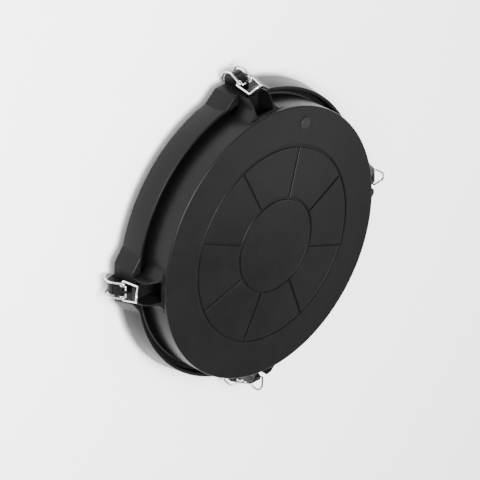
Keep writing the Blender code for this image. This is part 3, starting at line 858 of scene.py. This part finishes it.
class HATCH_OT_seals(bpy.types.Operator):
    """Models the rubber seal in the ring's channel and the vent plug's washer"""

    bl_idname = "hatch.seals"
    bl_label = "Seals"

    def execute(self, context):
        sizes = context.scene.hatch_sizes
        rubber = rubber_finish(tuple(context.scene.hatch_colours.rubber))
        bead = arc((244.3, 45.0), 2.7, 90, 0, 5)[::-1]
        profile = [(237.2, 42.4), (251.4, 42.4), (251.4, 44.4)]
        profile += [(r + 4.4, z) for r, z in bead[1:]]
        profile += [(243.0, 47.0), (239.4, 47.6), (238.0, 47.2), (237.2, 46.0)]
        seal = spun("hatch_seal_ring", profile, sizes.segments)
        smooth(seal, 40.0)
        finish_piece(seal, "seal_ring", "neck", rubber)
        seat = plug_seat(sizes)
        washer = spun("hatch_vent_plug_seal",
                      [(9.7, seat + 0.4), (9.9, seat + 0.3), (11.3, seat + 0.3),
                       (11.5, seat + 0.5), (11.5, seat + 1.1), (11.3, seat + 1.3),
                       (9.9, seat + 1.3), (9.7, seat + 1.1)], 48, plug_place())
        smooth(washer, 40.0)
        finish_piece(washer, "vent_plug_seal", "cover", rubber)
        return {"FINISHED"}


class HATCH_OT_vent_plug(bpy.types.Operator):
    """Models the small grey vent plug"""

    bl_idname = "hatch.vent_plug"
    bl_label = "Vent plug"

    def execute(self, context):
        seat = plug_seat(context.scene.hatch_sizes)
        under = crown_height(context.scene.hatch_sizes, PLUG_RADIUS) - WALL
        edge = arc((11.0, seat + 2.7), 0.8, 0, 90, 5)
        profile = [(0.0, under - 8.0), (5.6, under - 8.0), (6.4, under - 7.2),
                   (7.0, under - 5.6), (7.0, seat + 0.2), (9.4, seat + 0.2),
                   (9.4, seat + 1.6), (11.6, seat + 1.6), (11.8, seat + 1.9)]
        profile += edge + [(9.2, seat + 3.6), (8.9, seat + 3.3), (8.5, seat + 3.3),
                           (8.2, seat + 3.6), (0.0, seat + 3.75)]
        plug = spun("hatch_vent_plug", profile, 64, plug_place())
        smooth(plug, 30.0)
        finish_piece(plug, "vent_plug", "cover",
                     plug_plastic(context.scene.hatch_colours))
        return {"FINISHED"}


# ------------------------------------------------------------------------------- latches

def lug_front(z):
    """Where the ring lug's front, which leans back as it rises, leaves room for the block."""
    return 283.75 - 5.0 * (z - RING_UNDERSIDE) / (RING_TOP - RING_UNDERSIDE)


def pivot_block():
    """The moulded block that carries one lever, with its foot, web, bore and screw holes."""
    body = side_prism("block", rounded_outline(
        [((lug_front(FOOT_LOW), 16.9), 0.0), ((293.0, 16.9), 5.0), ((300.2, 20.5), 6.0),
         ((303.6, 29.0), 8.0), ((302.8, 38.0), 4.0), ((300.6, 43.0), 1.0),
         ((lug_front(43.0), 43.0), 0.0)], 6), BLOCK_HALF_WIDTH)
    slot = side_prism("slot", rounded_outline(
        [((301.0, 36.2), 0.8), ((306.0, 35.8), 0.0), ((306.0, 39.4), 0.0),
         ((301.0, 38.8), 0.8)], 3), 14.0)
    combine(body, slot, "DIFFERENCE")
    foot = side_prism("foot", [(267.0, FOOT_LOW), (290.0, FOOT_LOW), (291.5, 17.7),
                               (288.0, FOOT_TOP), (267.0, FOOT_TOP)], BLOCK_HALF_WIDTH)
    neck = side_prism("neck", rounded_outline(
        [((lug_front(40.0), 40.0), 0.0), ((301.4, 40.0), 0.0), ((299.5, 45.2), 1.5),
         ((296.0, 50.0), 3.0), ((290.5, 55.6), 1.5), ((lug_front(55.6), 55.6), 0.0)], 5), 8.6)
    nose = arc(PIVOT, 3.4, 100, -40, 12)
    web = side_prism("web", [(284.0, 53.0), (283.0, 60.0)] + nose + [(295.0, 51.0)], 2.5)
    for part in (body, foot, neck, web):
        face_out(part)
        round_edges(part, 0.0006, 40.0, 2)
    for part in (foot, neck, web):
        combine(body, part, "UNION")
    bore = rod("bore", radial(PIVOT[0], -6.0, PIVOT[1]), radial(PIVOT[0], 6.0, PIVOT[1]),
               0.002, 24)
    combine(body, bore, "DIFFERENCE")
    cut_screw_holes(body, 10.0, 25.0)
    smooth(body, 30.0)
    return body


def rod(name, start, end, radius, sides):
    """A round bar between two points in metres."""
    start_clean()
    bpy.ops.mesh.primitive_cylinder_add(vertices=sides, radius=radius,
                                        depth=(end - start).length)
    piece = bpy.context.object
    piece.name = name
    turn = (end - start).to_track_quat("Z", "Y").to_matrix().to_4x4()
    place(piece, Matrix.Translation((start + end) / 2) @ turn)
    return piece


def block_screw(sign):
    """A button-head screw with a hexagon socket, pushed up through the block's foot."""
    profile = [(0.0, 12.4), (1.9, 12.4), (3.4, 12.8), (4.0, 13.5), (4.2, 14.4), (4.2, 15.1),
               (4.0, 15.4), (2.2, 15.4), (2.2, 31.6), (1.8, 32.0), (0.0, 32.0)]
    screw = spun("screw", profile, 40)
    start_clean()
    bpy.ops.mesh.primitive_cylinder_add(vertices=6, radius=0.002, depth=0.004,
                                        location=(0, 0, 0.0120))
    socket = bpy.context.object
    bpy.ops.object.transform_apply(location=True)
    combine(screw, socket, "DIFFERENCE")
    reach, offset = SCREW_PLACE
    place(screw, Matrix.Translation(radial(reach, sign * offset, 0.0)))
    smooth(screw, 35.0)
    return screw


def lever_half(sign, radius):
    """Half a lever, from the middle of its pull loop through its coiled eye to its stub."""
    eye = 2 * radius + 0.3
    t = sign * LEVER_HALF_WIDTH
    slope = math.radians(27.0)
    start = (KNUCKLE[0] + eye * math.cos(slope), KNUCKLE[1] + eye * math.sin(slope))
    bow = sign * 15.2
    corners = [((281.0, 0.0, 9.2), 0.0), ((281.5, sign * 9.0, 9.3), 5.5),
               ((292.0, t, 12.0), 7.0), ((304.6, bow, 18.8), 9.0), ((310.0, bow, 34.0), 14.0),
               ((start[0] + 3.6, t, start[1] - 7.0), 4.5), ((start[0], t, start[1]), 0.0)]
    route = rounded(corners, 10)
    for k in range(1, 33):
        angle = slope + 2 * math.pi * k / 32
        route.append(Vector((KNUCKLE[0] + eye * math.cos(angle), t - sign * eye * k / 32,
                             KNUCKLE[1] + eye * math.sin(angle))))
    inner = t - sign * eye
    tail = [((route[-1].x, inner, route[-1].z), 0.0), ((PIVOT[0], inner, PIVOT[1]), 1.7),
            ((PIVOT[0], sign * 0.4, PIVOT[1]), 0.0)]
    return route + rounded(tail, 8)[1:]


def bail_route():
    """A bail, from one inner end through its pointed hook to the other."""
    sides = []
    for sign in (-1, 1):
        sides.append([((KNUCKLE[0], sign * 10.9, KNUCKLE[1]), 0.0),
                      ((KNUCKLE[0], sign * BAIL_HALF_WIDTH, KNUCKLE[1]), 2.4),
                      ((HOOK_CORNER[0], sign * HOOK_HALF_WIDTH, HOOK_CORNER[1]), 2.6)])
    point = [((HOOK_POINT[0], 0.0, HOOK_POINT[1]), HOOK_BEND)]
    return rounded(sides[0] + point + sides[1][::-1], 14)


class HATCH_OT_pivot_blocks(bpy.types.Operator):
    """Models the four pivot blocks and the two screws in each"""

    bl_idname = "hatch.pivot_blocks"
    bl_label = "Pivot blocks and screws"

    def execute(self, context):
        colours = context.scene.hatch_colours
        steel = steel_finish("plain stainless", tuple(colours.steel), 0.26, 0.42)
        block = pivot_block()
        screws = {"a": block_screw(-1), "b": block_screw(1)}
        for latch in LATCHES:
            angle = 90.0 * (latch - 1)
            finish_piece(copy_of(block, f"hatch_pivot_block_{latch}", angle),
                         f"pivot_block_{latch}", "neck",
                         block_moulding(colours))
            for letter, screw in screws.items():
                finish_piece(copy_of(screw, f"hatch_block_screw_{latch}{letter}", angle),
                             f"block_screw_{latch}{letter}", "neck", steel)
        remove_all(block, *screws.values())
        return {"FINISHED"}


class HATCH_OT_latch_wires(bpy.types.Operator):
    """Bends the four levers and the four bails from round wire"""

    bl_idname = "hatch.latch_wires"
    bl_label = "Latch wires"

    def execute(self, context):
        radius = context.scene.hatch_sizes.wire_radius
        steel = steel_finish("bright wire", tuple(context.scene.hatch_colours.steel),
                             0.12, 0.22)
        left, right = lever_half(-1, radius / MM), lever_half(1, radius / MM)
        lever = bent_wire("lever", list(reversed(left)) + right[1:], radius)
        bail = bent_wire("bail", bail_route(), radius)
        for latch in LATCHES:
            angle = 90.0 * (latch - 1)
            finish_piece(copy_of(lever, f"hatch_lever_{latch}", angle),
                         f"latch_lever_{latch}", f"lever_{latch}", steel)
            finish_piece(copy_of(bail, f"hatch_bail_{latch}", angle),
                         f"latch_bail_{latch}", f"bail_{latch}", steel)
        remove_all(lever, bail)
        return {"FINISHED"}


# ------------------------------------------------------------------------------- stage

def look_matrix(direction, up, spot):
    """A matrix whose -Z looks along a direction from a spot."""
    back = -Vector(direction).normalized()
    right = Vector(up).cross(back).normalized()
    matrix = Matrix((right, back.cross(right), back)).transposed().to_4x4()
    matrix.translation = spot
    return matrix


def add_floor(colour):
    """A wide pale floor at the neck's lower edge."""
    start_clean()
    bpy.ops.mesh.primitive_plane_add(size=12.0)
    floor = bpy.context.object
    floor.name = "floor"
    material, nodes, links, shader = new_material("pale floor")
    speck = noise(nodes, links, nodes.new("ShaderNodeTexCoord").outputs["Object"], 3.0)
    links.new(blend_colour(nodes, links, speck, lighter(colour, 0.99), colour),
              shader.inputs["Base Color"])
    shader.inputs["Roughness"].default_value = 0.9
    floor.data.materials.append(material)


def add_surroundings(scene):
    """A soft white surround, which looks brighter than it lights so that it meets the floor."""
    world = bpy.data.worlds.new("soft studio")
    scene.world = world
    world.use_nodes = True
    nodes, links = world.node_tree.nodes, world.node_tree.links
    background = nodes["Background"]
    background.inputs["Color"].default_value = (1.0, 1.0, 1.0, 1.0)
    seen = nodes.new("ShaderNodeLightPath").outputs["Is Camera Ray"]
    links.new(remap(nodes, links, seen, 0.0, 1.0, 0.8, 4.2), background.inputs["Strength"])


def add_lights():
    """Four soft square lights, each with its place, its size in metres and its power in watts."""
    target = Vector((0, 0, 0.06))
    for name, spot, size, power in (("front", (-0.95, 0.8, 2.7), 1.5, 350.0),
                                    ("camera side", (-1.6, 1.35, 1.7), 1.5, 70.0),
                                    ("left", (-1.9, -1.5, 1.5), 0.8, 20.0),
                                    ("back", (1.9, -0.4, 2.2), 1.4, 22.0)):
        bpy.ops.object.light_add(type="AREA")
        light = bpy.context.object
        light.name = name
        light.data.energy = power
        light.data.size = size
        light.matrix_world = look_matrix(target - Vector(spot), (0, 0, 1), Vector(spot))


def add_camera(scene):
    """A parallel view from up and to the left, with the hatch leaning back to the right."""
    right = Vector((0.70711, 0.0, 0.70711))
    up = Vector((0.35355, 0.86603, -0.35355))
    back = right.cross(up)
    aim = Vector((0.0, 0.0, 0.1133)) - right * 0.05016 + up * 0.00411
    bpy.ops.object.camera_add()
    camera = bpy.context.object
    camera.name = "camera"
    matrix = Matrix((right, up, back)).transposed().to_4x4()
    matrix.translation = aim + back * 2.4
    camera.matrix_world = matrix
    camera.data.type = "ORTHO"
    camera.data.ortho_scale = 0.8218
    scene.camera = camera


class HATCH_OT_stage(bpy.types.Operator):
    """Adds the floor, the soft lights and the camera"""

    bl_idname = "hatch.stage"
    bl_label = "Stage"

    def execute(self, context):
        add_floor(tuple(context.scene.hatch_colours.floor))
        add_surroundings(context.scene)
        add_lights()
        add_camera(context.scene)
        return {"FINISHED"}


# ------------------------------------------------------------------------------- add-on

class HATCH_PT_builder(bpy.types.Panel):
    """Lists the hatch's sizes, colours and pieces"""

    bl_idname = "HATCH_PT_builder"
    bl_label = "Hatch"
    bl_space_type = "VIEW_3D"
    bl_region_type = "UI"
    bl_category = "Hatch"

    def draw(self, context):
        layout = self.layout
        for settings in (context.scene.hatch_sizes, context.scene.hatch_colours):
            box = layout.box()
            for name in settings.__annotations__:
                box.prop(settings, name)
        for operator in OPERATORS:
            layout.operator(operator.bl_idname)


OPERATORS = (HATCH_OT_stage, HATCH_OT_cover, HATCH_OT_neck_ring, HATCH_OT_seals,
             HATCH_OT_vent_plug, HATCH_OT_pivot_blocks, HATCH_OT_latch_wires)
CLASSES = (HatchSizes, HatchColours, *OPERATORS, HATCH_PT_builder)


def register():
    for item in CLASSES:
        bpy.utils.register_class(item)
    bpy.types.Scene.hatch_sizes = bpy.props.PointerProperty(type=HatchSizes)
    bpy.types.Scene.hatch_colours = bpy.props.PointerProperty(type=HatchColours)


def unregister():
    del bpy.types.Scene.hatch_colours
    del bpy.types.Scene.hatch_sizes
    for item in reversed(CLASSES):
        bpy.utils.unregister_class(item)


def main():
    register()
    bpy.ops.hatch.stage()
    bpy.ops.hatch.cover()
    bpy.ops.hatch.neck_ring()
    bpy.ops.hatch.seals()
    bpy.ops.hatch.vent_plug()
    bpy.ops.hatch.pivot_blocks()
    bpy.ops.hatch.latch_wires()


if __name__ == "__main__":
    main()
